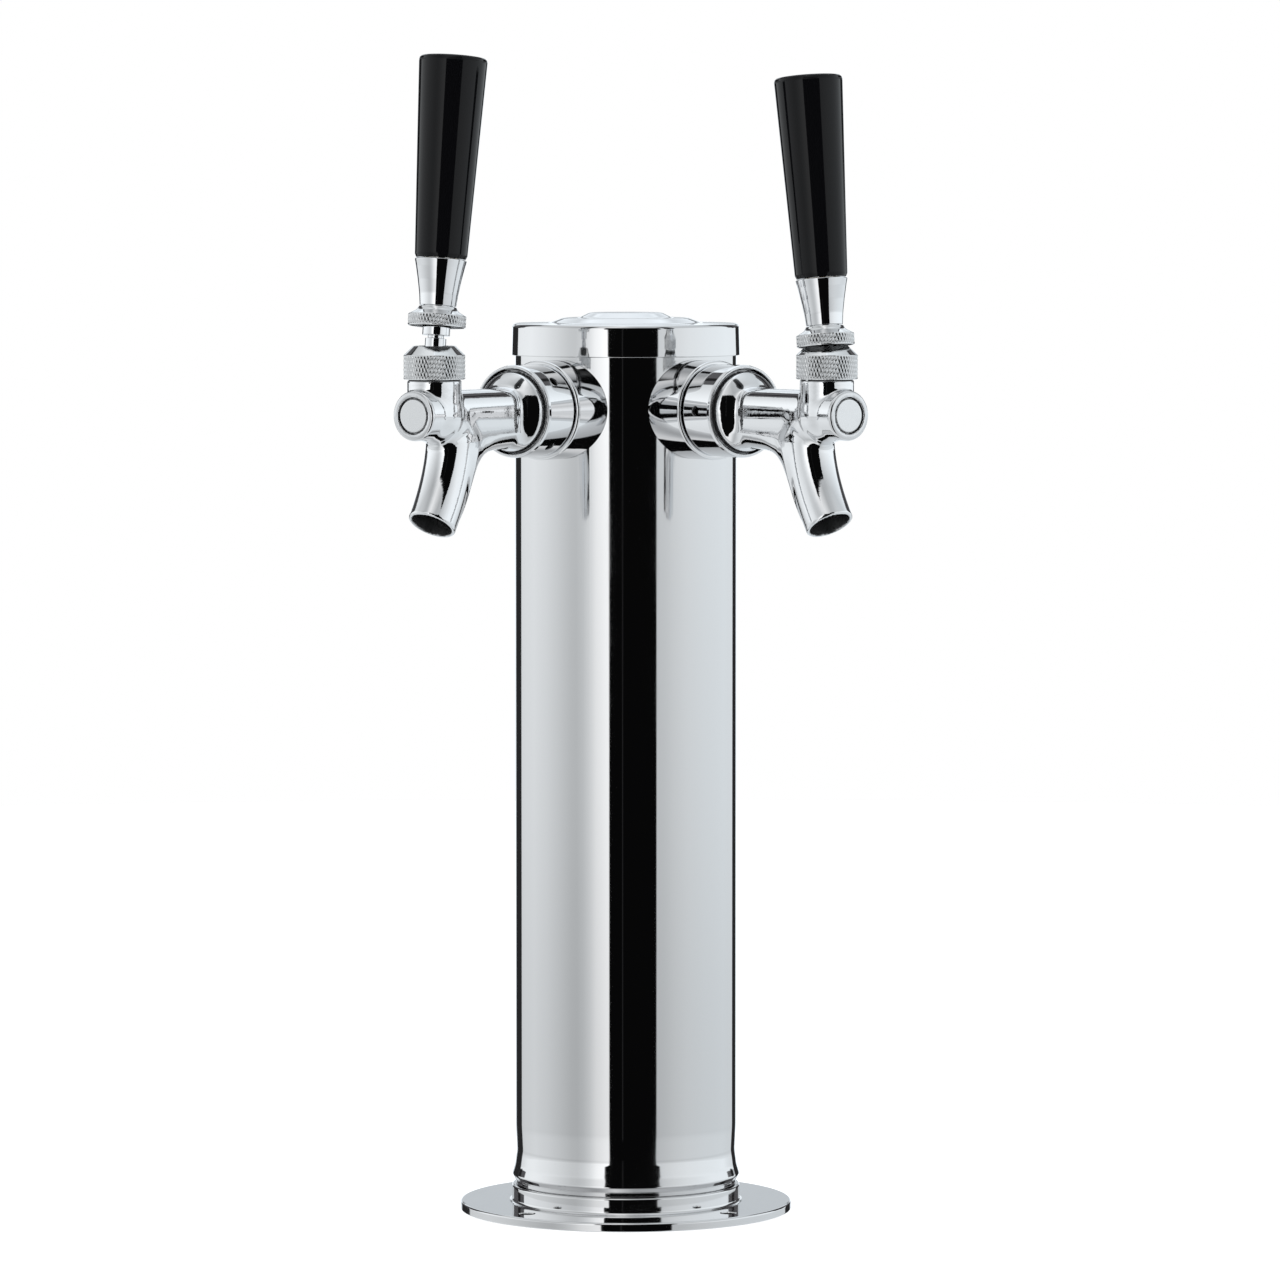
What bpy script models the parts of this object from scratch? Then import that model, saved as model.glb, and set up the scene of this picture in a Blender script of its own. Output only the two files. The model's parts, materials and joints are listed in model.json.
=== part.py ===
"""Two-faucet beer tap tower: a straight round column on a bolt-down flange, with a lift-off cap and two
lever faucets on shanks through the column's front. Millimetres here, metres in the scene, +Z up."""

import math

import bmesh
import bpy

MM = 0.001

# The column stands off the origin, so that the origin is the middle of the whole footprint.
COLUMN_Y = 22.7
COLUMN_RADIUS = 38.1
COLUMN_BORE = 36.9
COLUMN_TOP = 301.0
FOOT_BEAD_RADIUS = 39.3
FLANGE_RADIUS = 57.15
FLANGE_THICKNESS = 3.03
FLANGE_NECK_RADIUS = 39.35
FLANGE_NECK_TOP = 8.8
LINE_PASSAGE_RADIUS = 33.0
SCREW_HOLE_RADIUS = 2.6
SCREW_CIRCLE_RADIUS = 48.5
CAP_BOTTOM = 295.0
CAP_TOP = 305.9
CAP_RADIUS = 39.3

# Each faucet points away from the column, this far to the side of straight ahead.
FAUCET_SPLAY = 36.4
FAUCET_HEIGHT = 277.3

# Distances along a faucet's own axis, from the middle of the column.
SHANK_BACK = 25.0
COLLAR_FRONT = 51.0
NUT_BACK, NUT_FRONT = 51.5, 66.2
BODY_BACK = 59.6
SEAT_FACE = 66.4
PIVOT_REACH = 109.4
NOSE_FRONT = 121.3

# Heights over a faucet's own axis.
NECK_SHOULDER = 11.5
NECK_TOP = 18.2
PIVOT_RISE = 17.3

SHANK_RADIUS = 11.1
NUT_RADIUS = 15.6
BARREL_RADIUS = 8.0
BARREL_BORE = 5.6
NECK_RADIUS = 9.0
NECK_BORE = 7.2
SPOUT_RADIUS = 8.1
SPOUT_BORE = 7.25
BALL_RADIUS = 5.2
STUD_RADIUS = 4.62
STUD_BORE = 4.95

LEVER_LEAN = 6.2
ARM_LENGTH = 17.5
ARM_RADIUS = 1.6
ARM_TIP_RADIUS = 2.0

# How far up each lever its collar stands: the left one is a few turns short of the right one.
COLLAR_RISE = {"left": 12.1, "right": 5.6}
COLLAR_LENGTH = 6.4
FERRULE_LENGTH = 15.4
GRIP_LENGTH = 66.8

# Pieces that rest on each other keep this gap.
GAP = 0.3

FINISHES = {
    # name: (colour, metallic, roughness)
    "chrome": ((0.78, 0.79, 0.81), 1.0, 0.06),
    "polished_steel": ((0.68, 0.69, 0.70), 1.0, 0.16),
    "brass": ((0.72, 0.52, 0.22), 1.0, 0.25),
    "black_plastic": ((0.012, 0.012, 0.013), 0.0, 0.22),
    "white_nylon": ((0.75, 0.74, 0.70), 0.0, 0.45),
    "black_rubber": ((0.02, 0.02, 0.02), 0.0, 0.75),
    "foam": ((0.05, 0.05, 0.055), 0.0, 0.95),
}


def clearScene():
    for old in list(bpy.data.objects):
        bpy.data.objects.remove(old, do_unlink=True)


def collectionNamed(name):
    made = bpy.data.collections.new(name)
    bpy.context.scene.collection.children.link(made)
    return made


def finishNamed(name):
    colour, metallic, roughness = FINISHES[name]
    made = bpy.data.materials.new(name)
    made.use_nodes = True
    shader = made.node_tree.nodes["Principled BSDF"]
    shader.inputs["Base Color"].default_value = (*colour, 1.0)
    shader.inputs["Metallic"].default_value = metallic
    shader.inputs["Roughness"].default_value = roughness
    return made


def frameAt(name, location, rotation=(0.0, 0.0, 0.0), parent=None):
    """An empty that its pieces are placed in: location in millimetres, rotation in degrees."""
    frame = bpy.data.objects.new(name, None)
    frame.empty_display_size = 0.01
    tower.objects.link(frame)
    frame.parent = parent
    frame.location = [value * MM for value in location]
    frame.rotation_euler = [math.radians(value) for value in rotation]
    return frame


def placed(obj, frame, finish=None, tipped=False):
    """A piece with no finish is a cutter. A tipped piece has its own Z laid along the frame's X."""
    obj.parent = frame
    if tipped:
        obj.rotation_euler = (0.0, math.radians(90), 0.0)
    if finish:
        tower.objects.link(obj)
        obj.data.materials.append(finishes[finish])
    else:
        cutters.objects.link(obj)
        obj.hide_render = True
        obj.display_type = "WIRE"
    return obj


def smooth(mesh):
    mesh.shade_smooth()
    mesh.set_sharp_from_angle(angle=math.radians(35))


def turned(name, outline, steps, frame, finish=None, tipped=False):
    """A solid of revolution round Z. The outline is (radius, height) points, down the outer side; one that
    starts and ends on the axis is solid, and any other is a ring."""
    mesh = bpy.data.meshes.new(name)
    points = [(radius * MM, 0.0, height * MM) for radius, height in outline]
    edges = [(i, i + 1) for i in range(len(points) - 1)]
    if outline[0][0] > 0:
        edges.append((len(points) - 1, 0))
    mesh.from_pydata(points, edges, [])
    obj = placed(bpy.data.objects.new(name, mesh), frame, finish, tipped)
    screw = obj.modifiers.new("turn", "SCREW")
    screw.steps = screw.render_steps = steps
    screw.use_merge_vertices = True
    screw.merge_threshold = 0.00001
    screw.use_smooth_shade = True
    return obj


def prism(name, sides, radius, low, high, frame, finish=None, tipped=False, centre=(0.0, 0.0)):
    """A cylinder or, with few sides, a hexagon, along Z."""
    mesh = bpy.data.meshes.new(name)
    work = bmesh.new()
    bmesh.ops.create_cone(
        work, cap_ends=True, segments=sides, radius1=radius * MM, radius2=radius * MM, depth=(high - low) * MM
    )
    bmesh.ops.translate(work, verts=work.verts, vec=(centre[0] * MM, centre[1] * MM, (low + high) / 2 * MM))
    work.to_mesh(mesh)
    work.free()
    if sides > 8:
        smooth(mesh)
    return placed(bpy.data.objects.new(name, mesh), frame, finish, tipped)


def block(name, low, high, frame):
    """A box between two corners."""
    mesh = bpy.data.meshes.new(name)
    work = bmesh.new()
    bmesh.ops.create_cube(work, size=1.0)
    bmesh.ops.scale(work, verts=work.verts, vec=[(b - a) * MM for a, b in zip(low, high)])
    bmesh.ops.translate(work, verts=work.verts, vec=[(a + b) / 2 * MM for a, b in zip(low, high)])
    work.to_mesh(mesh)
    work.free()
    return placed(bpy.data.objects.new(name, mesh), frame)


def tube(name, path, radius, frame, finish=None):
    """A round rod along a smooth path of (x, y, z) points, made a closed mesh."""
    curve = bpy.data.curves.new(name + "_path", "CURVE")
    curve.dimensions = "3D"
    curve.bevel_depth = radius * MM
    curve.bevel_resolution = 3
    curve.use_fill_caps = True
    line = curve.splines.new("POLY")
    line.points.add(len(path) - 1)
    for point, place in zip(line.points, path):
        point.co = (*[value * MM for value in place], 1.0)
    rod = bpy.data.objects.new(name + "_path", curve)
    cutters.objects.link(rod)
    bpy.context.view_layer.update()
    graph = bpy.context.evaluated_depsgraph_get()
    mesh = bpy.data.meshes.new_from_object(rod.evaluated_get(graph))
    bpy.data.objects.remove(rod, do_unlink=True)
    mesh.name = name
    work = bmesh.new()
    work.from_mesh(mesh)
    bmesh.ops.remove_doubles(work, verts=work.verts, dist=0.00001)
    bmesh.ops.recalc_face_normals(work, faces=work.faces)
    work.to_mesh(mesh)
    work.free()
    smooth(mesh)
    return placed(bpy.data.objects.new(name, mesh), frame, finish)


def combine(obj, other, operation):
    boolean = obj.modifiers.new(other.name, "BOOLEAN")
    boolean.object = other
    boolean.operation = operation
    boolean.solver = "EXACT"


def cut(obj, other):
    combine(obj, other, "DIFFERENCE")


def arc(centre, radius, start, end, count):
    """Points (x, y) of a circle's arc, angles in degrees."""
    turn = [math.radians(start + (end - start) * i / count) for i in range(count + 1)]
    return [(centre[0] + radius * math.cos(a), centre[1] + radius * math.sin(a)) for a in turn]


def spoutLine(start, end):
    """The spout's centre line in the faucet's upright plane, between two shares of its length: it drops from
    the barrel, leans further forward as it goes and ends straight."""
    root, bend, tip = (98.8, 2.0), (99.1, -18.0), (111.1, -36.5)
    path = []
    for i in range(9):
        t = start + (end - start) * i / 8
        x, z = (
            (1 - t) ** 2 * a + 2 * t * (1 - t) * b + t * t * c for a, b, c in zip(root, bend, tip)
        )
        path.append((x, 0.0, z))
    return path


def makeColumn(frame):
    outline = [
        (COLUMN_RADIUS, COLUMN_TOP),
        (COLUMN_RADIUS, 30.0),
        (37.85, 21.5),
        (38.35, 16.5),
        (FOOT_BEAD_RADIUS, 12.8),
        (FOOT_BEAD_RADIUS, 12.1),
        (38.1, 10.5),
        (38.1, FLANGE_NECK_TOP + GAP),
        (COLUMN_BORE, FLANGE_NECK_TOP + GAP),
        (COLUMN_BORE, COLUMN_TOP),
    ]
    column = turned("column_tube", outline, 40, frame, "polished_steel")
    for side, faucet in faucets.items():
        hole = prism(f"shank_hole_{side}", 20, SHANK_RADIUS + 0.5, 26.0, 50.0, faucet, tipped=True)
        cut(column, hole)


def makeBase(frame):
    recess_depth, recess_inner, recess_outer = 1.3, 41.0, 55.0
    spigot_radius, spigot_top = COLUMN_BORE - GAP, 25.0
    outline = [
        (spigot_radius, spigot_top),
        (spigot_radius, FLANGE_NECK_TOP),
        (FLANGE_NECK_RADIUS - 0.3, FLANGE_NECK_TOP),
        (FLANGE_NECK_RADIUS, FLANGE_NECK_TOP - 0.3),
        (FLANGE_NECK_RADIUS, 4.2),
        (FLANGE_NECK_RADIUS + 1.1, FLANGE_THICKNESS),
        (FLANGE_RADIUS - 0.6, FLANGE_THICKNESS),
        (FLANGE_RADIUS, FLANGE_THICKNESS - 0.6),
        (FLANGE_RADIUS, 0.3),
        (FLANGE_RADIUS - 0.3, 0.0),
        (recess_outer, 0.0),
        (recess_outer, recess_depth),
        (recess_inner, recess_depth),
        (recess_inner, 0.0),
        (LINE_PASSAGE_RADIUS, 0.0),
        (LINE_PASSAGE_RADIUS, spigot_top),
    ]
    flange = turned("base_flange", outline, 36, frame, "polished_steel")
    gasket = turned(
        "base_gasket",
        [
            (recess_outer - GAP, recess_depth - GAP),
            (recess_outer - GAP, 0.0),
            (recess_inner + GAP, 0.0),
            (recess_inner + GAP, recess_depth - GAP),
        ],
        36,
        frame,
        "black_rubber",
    )
    for i in range(4):
        turn = math.radians(45 + 90 * i)
        centre = (SCREW_CIRCLE_RADIUS * math.cos(turn), SCREW_CIRCLE_RADIUS * math.sin(turn))
        hole = prism(f"screw_hole_{i}", 12, SCREW_HOLE_RADIUS, -5.0, 8.0, frame, centre=centre)
        cut(flange, hole)
        cut(gasket, hole)


def makeCap(frame):
    skirt_bore = COLUMN_RADIUS + GAP
    outline = [
        (0.0, 309.6),
        (12.5, 309.55),
        (13.7, 309.2),
        (15.0, 308.2),
        (16.2, 307.85),
        (21.6, 307.75),
        (23.0, 307.4),
        (24.8, 306.4),
        (26.2, 306.1),
        (CAP_RADIUS - 1.3, CAP_TOP),
        (CAP_RADIUS - 0.4, CAP_TOP - 0.9),
        (CAP_RADIUS, CAP_BOTTOM + 0.3),
        (CAP_RADIUS - 0.2, CAP_BOTTOM),
        (skirt_bore, CAP_BOTTOM),
        (skirt_bore, COLUMN_TOP + GAP),
        (COLUMN_BORE - GAP, COLUMN_TOP + GAP),
        (COLUMN_BORE - GAP, CAP_BOTTOM - 1.5),
        (COLUMN_BORE - 2.0, CAP_BOTTOM - 1.5),
        (COLUMN_BORE - 2.0, 304.0),
        (24.6, 304.3),
        (24.4, 305.9),
        (14.6, 306.0),
        (14.4, 307.6),
        (0.0, 307.6),
    ]
    turned("top_cap", outline, 32, frame, "polished_steel")


def makeSleeve(frame):
    turned(
        "insulation_sleeve",
        [(COLUMN_BORE - GAP, 226.0), (COLUMN_BORE - GAP, 26.0), (17.0, 26.0), (17.0, 226.0)],
        16,
        frame,
        "foam",
    )


def makeShank(side, frame):
    """The threaded tube through the column wall, with what clamps it there and the elbow for the beer line."""
    shank = [
        (13.9, 57.5),
        (13.9, 54.3),
        (SHANK_RADIUS, 54.3),
        (SHANK_RADIUS, SHANK_BACK),
        (5.2, SHANK_BACK),
        (5.2, 49.0),
        (6.6, 49.0),
        (6.6, 57.5),
    ]
    turned(f"shank_{side}", shank, 16, frame, "chrome", tipped=True)

    collar = [
        (14.8, COLLAR_FRONT),
        (16.2, COLLAR_FRONT - 0.5),
        (16.8, COLLAR_FRONT - 1.9),
        (16.8, 30.0),
        (SHANK_RADIUS + GAP, 30.0),
        (SHANK_RADIUS + GAP, COLLAR_FRONT),
    ]
    saddle = turned(f"shank_collar_{side}", collar, 24, frame, "chrome", tipped=True)
    wall = prism(f"column_outside_{side}", 48, COLUMN_RADIUS + 0.4, -30.0, 30.0, frame)
    cut(saddle, wall)

    washer = [(15.0, 40.0), (15.0, 31.0), (SHANK_RADIUS + GAP, 31.0), (SHANK_RADIUS + GAP, 40.0)]
    backing = turned(f"inner_washer_{side}", washer, 16, frame, "chrome", tipped=True)
    inside = prism(f"column_inside_{side}", 48, COLUMN_BORE - GAP, -30.0, 30.0, frame)
    combine(backing, inside, "INTERSECT")

    locknut = prism(f"shank_locknut_{side}", 6, 16.0, 26.4, 30.7, frame, "brass", tipped=True)
    thread = prism(f"locknut_thread_{side}", 16, SHANK_RADIUS + GAP, 20.0, 35.0, frame, tipped=True)
    cut(locknut, thread)

    centre, bend = (17.0, -7.0), 7.0
    turn = [(x, 0.0, z) for x, z in arc(centre, bend, 90, 180, 4)]
    elbow = tube(f"tail_elbow_{side}", [(36.0, 0.0, 0.0)] + turn + [(10.0, 0.0, -32.0)], 4.8, frame, "chrome")
    bore = tube(f"tail_bore_{side}", [(40.0, 0.0, 0.0)] + turn + [(10.0, 0.0, -36.0)], 3.4, frame)
    cut(elbow, bore)


def makeCoupling(side, frame):
    """The round nut that draws the faucet onto the shank, with four holes for a pin wrench."""
    nut = [
        (NUT_RADIUS - 1.4, NUT_FRONT),
        (NUT_RADIUS - 0.4, NUT_FRONT - 0.3),
        (NUT_RADIUS, NUT_FRONT - 1.2),
        (NUT_RADIUS, NUT_BACK + 0.8),
        (NUT_RADIUS - 0.8, NUT_BACK),
        (SHANK_RADIUS + 0.4, NUT_BACK),
        (SHANK_RADIUS + 0.4, 54.0),
        (14.5, 54.0),
        (14.5, NUT_FRONT - 0.3),
        (NUT_RADIUS - 1.1, NUT_FRONT),
    ]
    coupling = turned(f"coupling_nut_{side}", nut, 24, frame, "chrome", tipped=True)
    first = {"left": -49.6, "right": 0.0}[side]
    for i in range(4):
        spin = frameAt(f"wrench_hole_{side}_{i}", (58.5, 0.0, 0.0), (first + 90 * i, 0.0, 0.0), frame)
        cut(coupling, prism(f"wrench_pin_{side}_{i}", 8, 1.4, 13.0, 20.0, spin))
    turned(
        f"coupling_washer_{side}",
        [(13.8, 59.3), (13.8, 57.8), (6.6, 57.8), (6.6, 59.3)],
        16,
        frame,
        "black_rubber",
        tipped=True,
    )


def makeBody(side, frame):
    """The cast faucet body: threaded collar, dome, barrel and nose in one line, the upright neck that holds
    the lever's ball, and the spout below."""
    dome = arc((66.5, 8.0), 6.2, 80, -0, 3)
    line = [(0.0, NOSE_FRONT), (BARREL_RADIUS - 0.7, NOSE_FRONT), (8.33, NOSE_FRONT - 1.0), (8.33, 112.0)]
    line += [(BARREL_RADIUS, 110.0)]
    line += [(height, reach) for reach, height in reversed(dome)]
    line += [(14.2, 66.4), (14.2, BODY_BACK), (0.0, BODY_BACK)]
    body = turned(f"faucet_body_{side}", line, 20, frame, "chrome", tipped=True)

    upright = frameAt(f"neck_{side}", (PIVOT_REACH, 0.0, 0.0), parent=frame)
    neck = [(0.0, NECK_TOP), (8.4, NECK_TOP), (8.4, NECK_SHOULDER), (NECK_RADIUS, NECK_SHOULDER)]
    neck += [(NECK_RADIUS, 2.0), (BARREL_RADIUS - 0.4, -3.0), (0.0, -3.0)]
    combine(body, turned(f"neck_solid_{side}", neck, 16, upright), "UNION")
    combine(body, tube(f"spout_solid_{side}", spoutLine(0.06, 1.0), SPOUT_RADIUS, frame), "UNION")

    web = bpy.data.curves.new(f"web_{side}", "CURVE")
    web.dimensions = "2D"
    web.fill_mode = "BOTH"
    web.extrude = 4.6 * MM
    web.bevel_depth = 1.2 * MM
    web.bevel_resolution = 1
    edge = [(71.5, -3.0), (72.0, -10.6), (78.0, -11.6), (84.0, -13.0), (89.5, -16.2), (94.0, -21.5)]
    edge += [(97.8, -27.0), (102.0, -26.0), (100.5, -3.0)]
    outline = web.splines.new("POLY")
    outline.points.add(len(edge) - 1)
    for point, (x, z) in zip(outline.points, edge):
        point.co = (x * MM, z * MM, 0.0, 1.0)
    outline.use_cyclic_u = True
    flat = bpy.data.objects.new(f"web_{side}", web)
    cutters.objects.link(flat)
    bpy.context.view_layer.update()
    mesh = bpy.data.meshes.new_from_object(flat.evaluated_get(bpy.context.evaluated_depsgraph_get()))
    bpy.data.objects.remove(flat, do_unlink=True)
    work = bmesh.new()
    work.from_mesh(mesh)
    bmesh.ops.remove_doubles(work, verts=work.verts, dist=0.00001)
    bmesh.ops.recalc_face_normals(work, faces=work.faces)
    work.to_mesh(mesh)
    work.free()
    fillet = placed(bpy.data.objects.new(f"web_{side}", mesh), frame)
    fillet.rotation_euler = (math.radians(90), 0.0, 0.0)
    combine(body, fillet, "UNION")

    through = [
        (0.0, NOSE_FRONT + 3.0),
        (6.0, NOSE_FRONT + 3.0),
        (6.0, 119.8),
        (4.0, 119.8),
        (4.0, 110.8),
        (BARREL_BORE, 110.8),
        (BARREL_BORE, 69.0),
        (4.4, 69.0),
        (4.4, SEAT_FACE),
        (6.9, SEAT_FACE),
        (6.9, BODY_BACK - 3.0),
        (0.0, BODY_BACK - 3.0),
    ]
    cut(body, turned(f"barrel_bore_{side}", through, 16, frame, tipped=True))
    shelf = PIVOT_RISE - 5.9
    down = [(0.0, NECK_TOP + 3.0), (NECK_BORE, NECK_TOP + 3.0), (NECK_BORE, shelf), (5.2, shelf)]
    down += [(5.2, shelf - 1.0), (7.0, shelf - 1.0), (7.0, 3.0), (0.0, 3.0)]
    cut(body, turned(f"neck_bore_{side}", down, 16, upright))
    cut(body, tube(f"spout_bore_{side}", spoutLine(0.13, 1.06), SPOUT_BORE, frame))

    plug = [(0.0, NOSE_FRONT - 0.1), (5.4, NOSE_FRONT - 0.1), (5.7, NOSE_FRONT - 0.4), (5.7, 120.1), (0.0, 120.1)]
    turned(f"nose_plug_{side}", plug, 16, frame, "chrome", tipped=True)


def makeValve(side, frame):
    """The sliding shaft: its rear washer shuts against the seat, and the lever's tip sits in its slot."""
    rest = PIVOT_REACH + ARM_LENGTH * math.sin(math.radians(LEVER_LEAN))
    slot_half, slot_floor = 2.6, -2.6
    shaft = [
        (0.0, 119.5),
        (3.2, 119.5),
        (3.7, 119.0),
        (3.7, 103.0),
        (3.0, 101.5),
        (3.0, SEAT_FACE),
        (1.9, SEAT_FACE),
        (1.9, 58.4),
        (0.0, 58.4),
    ]
    valve = turned(f"valve_shaft_{side}", shaft, 12, frame, "chrome", tipped=True)
    slot = block(f"shaft_slot_{side}", (rest - slot_half, -6.0, slot_floor), (rest + slot_half, 6.0, 8.0), frame)
    cut(valve, slot)
    seat = SEAT_FACE - GAP
    turned(
        f"seat_washer_{side}",
        [(5.4, seat), (5.4, seat - 3.2), (2.2, seat - 3.2), (2.2, seat)],
        12,
        frame,
        "black_rubber",
        tipped=True,
    )
    back = seat - 3.2 - GAP
    nut = prism(f"seat_nut_{side}", 6, 4.4, back - 2.8, back, frame, "brass", tipped=True)
    cut(nut, prism(f"seat_thread_{side}", 12, 2.2, back - 6.0, back + 3.0, frame, tipped=True))


def makeBonnet(side, frame):
    """The knurled ring that holds the ball down, and the washers under and over the ball. Heights here are
    over the pivot."""
    ring = [
        (6.9, 5.6),
        (10.2, 2.6),
        (10.2, -5.2),
        (9.7, 0.3 - 5.8),
        (8.7, 0.3 - 5.8),
        (8.7, 2.8),
        (5.0, 2.8),
        (6.3, 5.6),
    ]
    turned(f"bonnet_{side}", ring, 24, frame, "chrome")
    under = [(6.9, -2.4), (6.9, -5.6), (4.35, -5.6), (4.35, -3.6), (4.95, -2.4)]
    turned(f"ball_washer_{side}", under, 16, frame, "white_nylon")
    over = [(8.3, 2.5), (8.3, 1.3), (5.45, 1.3), (5.2, 2.5)]
    turned(f"friction_washer_{side}", over, 16, frame, "white_nylon")


def makeLever(side, frame):
    """Lever, collar, ferrule and handle on one axis. Heights here are along the lever, over the pivot."""
    tip = [(x, z) for x, z in arc((0.0, -ARM_LENGTH), ARM_TIP_RADIUS, 45, -90, 4)]
    ball = arc((0.0, 0.0), BALL_RADIUS, 46, -70, 7)
    lever = [(0.0, 44.0), (3.9, 44.0), (STUD_RADIUS, 43.2), (STUD_RADIUS, 8.9), (3.55, 8.5), (3.55, 4.0)]
    lever += ball + [(ARM_RADIUS, -5.6)] + tip
    lever[-1] = (0.0, -ARM_LENGTH - ARM_TIP_RADIUS)
    turned(f"lever_{side}", lever, 12, frame, "chrome")

    foot = COLLAR_RISE[side]
    collar = [
        (5.5, foot + COLLAR_LENGTH),
        (6.4, foot + COLLAR_LENGTH),
        (7.0, foot + 5.2),
        (9.63, foot + 3.7),
        (9.63, foot + 0.4),
        (9.3, foot),
        (8.9, foot),
        (8.9, foot + 2.8),
        (STUD_BORE, foot + 2.8),
        (STUD_BORE, foot + COLLAR_LENGTH),
    ]
    turned(f"lever_collar_{side}", collar, 24, frame, "chrome")

    low = foot + COLLAR_LENGTH + GAP
    high = low + FERRULE_LENGTH
    ferrule = [
        (8.7, high),
        (8.25, high - 2.0),
        (7.25, high - 7.0),
        (6.55, high - 11.5),
        (6.2, low),
        (STUD_BORE, low),
        (STUD_BORE, high),
    ]
    turned(f"handle_ferrule_{side}", ferrule, 16, frame, "chrome")

    low = high + GAP
    high = low + GRIP_LENGTH
    insert_depth, insert_radius = 24.0, 6.2
    grip = [
        (0.0, high),
        (10.5, high),
        (11.2, high - 0.5),
        (11.4, high - 1.3),
        (8.75, low + 1.6),
        (8.1, low + 0.3),
        (7.6, low),
        (insert_radius + GAP, low),
        (insert_radius + GAP, low + insert_depth),
        (0.0, low + insert_depth),
    ]
    turned(f"handle_grip_{side}", grip, 20, frame, "black_plastic")
    insert = [
        (insert_radius, low + insert_depth - GAP),
        (insert_radius, low),
        (STUD_BORE, low),
        (STUD_BORE, low + insert_depth - GAP),
    ]
    turned(f"handle_insert_{side}", insert, 12, frame, "brass")


clearScene()
tower = collectionNamed("beer_tap_tower")
cutters = collectionNamed("cutters")
finishes = {name: finishNamed(name) for name in FINISHES}

axis = frameAt("column_axis", (0.0, COLUMN_Y, 0.0))
faucets = {}
for side, turn in (("left", -90.0 - FAUCET_SPLAY), ("right", -90.0 + FAUCET_SPLAY)):
    faucets[side] = frameAt(f"faucet_axis_{side}", (0.0, 0.0, FAUCET_HEIGHT), (0.0, 0.0, turn), axis)

makeColumn(axis)
makeBase(axis)
makeCap(axis)
makeSleeve(axis)
for side, faucet in faucets.items():
    makeShank(side, faucet)
    makeCoupling(side, faucet)
    makeBody(side, faucet)
    makeValve(side, faucet)
    pivot = frameAt(f"pivot_{side}", (PIVOT_REACH, 0.0, PIVOT_RISE), parent=faucet)
    makeBonnet(side, pivot)
    lean = frameAt(f"lever_axis_{side}", (0.0, 0.0, 0.0), (0.0, -LEVER_LEAN, 0.0), pivot)
    makeLever(side, lean)
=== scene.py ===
import json
import math

import bmesh
import bpy
import numpy as np
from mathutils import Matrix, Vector


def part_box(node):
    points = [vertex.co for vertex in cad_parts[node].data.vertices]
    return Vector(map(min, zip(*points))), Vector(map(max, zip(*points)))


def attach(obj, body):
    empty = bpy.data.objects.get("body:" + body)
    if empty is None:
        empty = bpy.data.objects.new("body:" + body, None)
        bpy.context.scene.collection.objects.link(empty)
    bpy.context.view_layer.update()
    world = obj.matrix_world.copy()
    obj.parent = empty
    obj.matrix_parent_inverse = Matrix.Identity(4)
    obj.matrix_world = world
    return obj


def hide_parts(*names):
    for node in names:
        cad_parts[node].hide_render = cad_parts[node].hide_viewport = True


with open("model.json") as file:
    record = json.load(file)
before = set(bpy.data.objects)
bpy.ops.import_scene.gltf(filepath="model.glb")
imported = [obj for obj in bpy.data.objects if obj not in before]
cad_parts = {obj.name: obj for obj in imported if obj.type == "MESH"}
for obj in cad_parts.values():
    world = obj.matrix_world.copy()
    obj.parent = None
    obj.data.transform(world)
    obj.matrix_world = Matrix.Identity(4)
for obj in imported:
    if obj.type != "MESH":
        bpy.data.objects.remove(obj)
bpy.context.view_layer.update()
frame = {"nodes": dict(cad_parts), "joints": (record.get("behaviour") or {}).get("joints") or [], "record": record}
scene = bpy.context.scene
mm = 0.001  # pieces are worked out in millimetres
print("frame loaded:", len(frame["nodes"]), "nodes")


# where things are, from the frame

def boxMiddle(node):
    low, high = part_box(node)
    return np.array((low + high) / 2) / mm


def placeOf(origin, x, y, z):
    # 4x4 matrix whose columns are the local axes and the origin
    place = np.eye(4)
    place[:3, 0], place[:3, 1], place[:3, 2], place[:3, 3] = x, y, z, origin
    return place


def tilted(place, degrees):
    # the same place turned about its own y axis
    a = math.radians(degrees)
    turn = np.eye(4)
    turn[0, 0], turn[0, 2], turn[2, 0], turn[2, 2] = math.cos(a), math.sin(a), -math.sin(a), math.cos(a)
    return place @ turn


columnMiddle = boxMiddle("column_tube")
columnAxis = np.array([columnMiddle[0], columnMiddle[1], 0.0])
columnPlace = placeOf(columnAxis, (1, 0, 0), (0, 1, 0), (0, 0, 1))
upright = np.array([0.0, 0.0, 1.0])
leverLean = 6.2  # degrees that a shut lever leans back
faucetPlace, pivotPlace, leverPlace = {}, {}, {}
for side in ("left", "right"):
    hinge = next(j for j in frame["joints"] if j["name"] == f"lever_{side}_tilt")
    across = np.array(hinge["axis"], float)
    across /= np.linalg.norm(across)
    outward = np.cross(across, upright)
    pivot = np.array(hinge["pos_m"], float) / mm
    axisPoint = columnAxis + upright * boxMiddle(f"nose_plug_{side}")[2]
    faucetPlace[side] = placeOf(axisPoint, outward, across, upright)
    pivotPlace[side] = placeOf(pivot, outward, across, upright)
    leverPlace[side] = tilted(pivotPlace[side], -leverLean)
pivotReach = float((pivot - axisPoint) @ outward)
pivotRise = float((pivot - axisPoint) @ upright)


# camera, surroundings and floor

view = {
    "distance": 2357.0,  # from the column's axis
    "height": 353.0,
    "azimuth": -1.2,  # degrees from straight ahead
    "pitch": 3.79,  # degrees down
    "sideways": 4.9,
    "lens": 192.9,
    "sensor": 36.0,
    "clip": (0.05, 50.0),
}


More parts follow.
